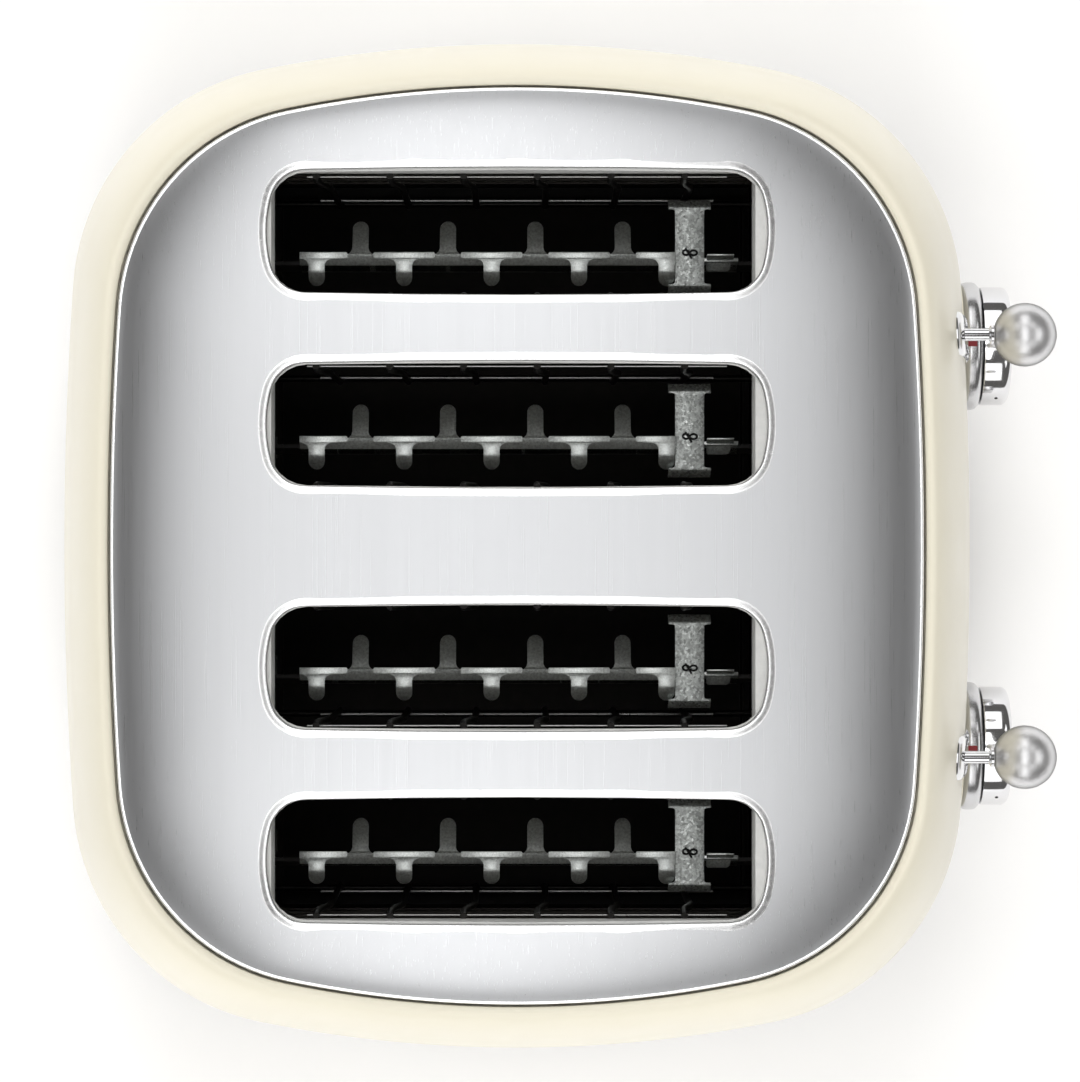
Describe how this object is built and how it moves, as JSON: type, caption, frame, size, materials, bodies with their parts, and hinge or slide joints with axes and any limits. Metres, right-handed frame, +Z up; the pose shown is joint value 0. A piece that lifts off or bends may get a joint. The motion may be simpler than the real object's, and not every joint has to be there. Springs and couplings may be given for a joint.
{
  "type": "pop up toaster",
  "caption": "Square retro pop-up toaster with long bread slots in a brushed top plate, ball-ended levers, browning dials, push buttons and pull-out crumb trays.",
  "frame": {"origin": "centre of the footprint of the whole box, on the surface that the feet stand on", "axes": "+X along the body's width towards the right-hand pair of slots seen from the front, +Z up, the levers and dials face -Y"},
  "size_m": [0.325, 0.3158, 0.2058],
  "materials": {
    "cream_paint": "glossy stoved enamel",
    "stainless": "finely brushed",
    "chrome": "polished",
    "satin_chrome": "satin",
    "galvanised": "spangled zinc",
    "steel_wire": "bright drawn wire",
    "mica": "matt sheet mica",
    "nichrome": "dull ribbon",
    "black_rubber": "matt",
    "black_plastic": "matt",
    "board": "lacquered circuit board",
    "cream_plastic": "glossy"
  },
  "bodies": {
    "housing": {"body_front": "cream_paint", "body_rear": "cream_paint", "body_flank_left": "cream_paint", "body_flank_right": "cream_paint", "top_plate": "stainless", "plate_seal": "black_rubber", "slot_collars_left": "galvanised", "slot_collars_right": "galvanised", "base_plinth": "stainless", "base_pan": "galvanised", "feet": "black_rubber", "base_screws": "steel_wire", "chamber_left": "galvanised", "chamber_right": "galvanised", "front_frame_left": "galvanised", "front_frame_right": "galvanised", "heater_cards_left": "mica", "heater_cards_right": "mica", "heating_ribbons": "nichrome", "lever_bezel_left": "chrome", "lever_bezel_right": "chrome", "dial_rings": "chrome", "button_panel": "cream_plastic", "control_board": "board", "browning_controls": "black_plastic", "holding_magnets": "black_plastic", "guide_rods": "steel_wire", "lever_spring_left": "steel_wire", "lever_spring_right": "steel_wire", "cord_gland": "black_rubber"},
    "lever_left": {"lever_stem_left": "chrome", "lever_ball_left": "satin_chrome", "carriage_left": "galvanised", "rack_left_outer": "galvanised", "rack_left_inner": "galvanised", "spreaders_left": "galvanised"},
    "lever_right": {"lever_stem_right": "chrome", "lever_ball_right": "satin_chrome", "carriage_right": "galvanised", "rack_right_outer": "galvanised", "rack_right_inner": "galvanised", "spreaders_right": "galvanised"},
    "guard_left_1": {"guard_left_1": "steel_wire"},
    "guard_left_2": {"guard_left_2": "steel_wire"},
    "guard_left_3": {"guard_left_3": "steel_wire"},
    "guard_left_4": {"guard_left_4": "steel_wire"},
    "guard_right_1": {"guard_right_1": "steel_wire"},
    "guard_right_2": {"guard_right_2": "steel_wire"},
    "guard_right_3": {"guard_right_3": "steel_wire"},
    "guard_right_4": {"guard_right_4": "steel_wire"},
    "dial_left": {"dial_knob_left": "chrome"},
    "dial_right": {"dial_knob_right": "chrome"},
    "button_left_reheat": {"button_left_reheat": "chrome"},
    "button_left_defrost": {"button_left_defrost": "chrome"},
    "button_left_cancel": {"button_left_cancel": "chrome"},
    "button_right_reheat": {"button_right_reheat": "chrome"},
    "button_right_defrost": {"button_right_defrost": "chrome"},
    "button_right_cancel": {"button_right_cancel": "chrome"},
    "crumb_tray_left": {"crumb_tray_left": "stainless"},
    "crumb_tray_right": {"crumb_tray_right": "stainless"}
  },
  "joints": [
    {"name": "lever_left_slide", "type": "slide", "parent": "housing", "child": "lever_left", "axis": [0, 0, 1], "range_m": [-0.066, 0], "stiffness_N_per_m": 80, "springref_m": 0.05, "deforming": ["lever_spring_left"]},
    {"name": "lever_right_slide", "type": "slide", "parent": "housing", "child": "lever_right", "axis": [0, 0, 1], "range_m": [-0.066, 0], "stiffness_N_per_m": 80, "springref_m": 0.05, "deforming": ["lever_spring_right"]},
    {"name": "guard_left_1_pivot", "type": "hinge", "parent": "housing", "child": "guard_left_1", "pos_m": [-0.1137, 0, 0.062], "axis": [0, 1, 0], "range_deg": [0, 3.2]},
    {"name": "guard_left_2_pivot", "type": "hinge", "parent": "housing", "child": "guard_left_2", "pos_m": [-0.0753, 0, 0.062], "axis": [0, 1, 0], "range_deg": [-3.2, 0]},
    {"name": "guard_left_3_pivot", "type": "hinge", "parent": "housing", "child": "guard_left_3", "pos_m": [-0.0557, 0, 0.062], "axis": [0, 1, 0], "range_deg": [0, 3.2]},
    {"name": "guard_left_4_pivot", "type": "hinge", "parent": "housing", "child": "guard_left_4", "pos_m": [-0.0173, 0, 0.062], "axis": [0, 1, 0], "range_deg": [-3.2, 0]},
    {"name": "guard_right_1_pivot", "type": "hinge", "parent": "housing", "child": "guard_right_1", "pos_m": [0.0753, 0, 0.062], "axis": [0, 1, 0], "range_deg": [0, 3.2]},
    {"name": "guard_right_2_pivot", "type": "hinge", "parent": "housing", "child": "guard_right_2", "pos_m": [0.1137, 0, 0.062], "axis": [0, 1, 0], "range_deg": [-3.2, 0]},
    {"name": "guard_right_3_pivot", "type": "hinge", "parent": "housing", "child": "guard_right_3", "pos_m": [0.0173, 0, 0.062], "axis": [0, 1, 0], "range_deg": [0, 3.2]},
    {"name": "guard_right_4_pivot", "type": "hinge", "parent": "housing", "child": "guard_right_4", "pos_m": [0.0557, 0, 0.062], "axis": [0, 1, 0], "range_deg": [-3.2, 0]},
    {"name": "dial_left_turn", "type": "hinge", "parent": "housing", "child": "dial_left", "pos_m": [-0.067, 0, 0.05], "axis": [0, 1, 0], "range_deg": [-85, 215]},
    {"name": "dial_right_turn", "type": "hinge", "parent": "housing", "child": "dial_right", "pos_m": [0.067, 0, 0.05], "axis": [0, 1, 0], "range_deg": [-85, 215]},
    {"name": "button_left_reheat_press", "type": "slide", "parent": "housing", "child": "button_left_reheat", "axis": [0, 1, 0], "range_m": [0, 0.0015], "stiffness_N_per_m": 600, "springref_m": -0.001},
    {"name": "button_left_defrost_press", "type": "slide", "parent": "housing", "child": "button_left_defrost", "axis": [0, 1, 0], "range_m": [0, 0.0015], "stiffness_N_per_m": 600, "springref_m": -0.001},
    {"name": "button_left_cancel_press", "type": "slide", "parent": "housing", "child": "button_left_cancel", "axis": [0, 1, 0], "range_m": [0, 0.0015], "stiffness_N_per_m": 600, "springref_m": -0.001},
    {"name": "button_right_reheat_press", "type": "slide", "parent": "housing", "child": "button_right_reheat", "axis": [0, 1, 0], "range_m": [0, 0.0015], "stiffness_N_per_m": 600, "springref_m": -0.001},
    {"name": "button_right_defrost_press", "type": "slide", "parent": "housing", "child": "button_right_defrost", "axis": [0, 1, 0], "range_m": [0, 0.0015], "stiffness_N_per_m": 600, "springref_m": -0.001},
    {"name": "button_right_cancel_press", "type": "slide", "parent": "housing", "child": "button_right_cancel", "axis": [0, 1, 0], "range_m": [0, 0.0015], "stiffness_N_per_m": 600, "springref_m": -0.001},
    {"name": "crumb_tray_left_pull", "type": "slide", "parent": "housing", "child": "crumb_tray_left", "axis": [0, 1, 0], "range_m": [0, 0.21]},
    {"name": "crumb_tray_right_pull", "type": "slide", "parent": "housing", "child": "crumb_tray_right", "axis": [0, 1, 0], "range_m": [0, 0.21]}
  ],
  "couplings": [
    {"joint": "guard_left_1_pivot", "follows": "lever_left_slide", "rad_per_m": -0.7933},
    {"joint": "guard_left_2_pivot", "follows": "lever_left_slide", "rad_per_m": 0.7933},
    {"joint": "guard_left_3_pivot", "follows": "lever_left_slide", "rad_per_m": -0.7933},
    {"joint": "guard_left_4_pivot", "follows": "lever_left_slide", "rad_per_m": 0.7933},
    {"joint": "guard_right_1_pivot", "follows": "lever_right_slide", "rad_per_m": -0.7933},
    {"joint": "guard_right_2_pivot", "follows": "lever_right_slide", "rad_per_m": 0.7933},
    {"joint": "guard_right_3_pivot", "follows": "lever_right_slide", "rad_per_m": -0.7933},
    {"joint": "guard_right_4_pivot", "follows": "lever_right_slide", "rad_per_m": 0.7933}
  ]
}
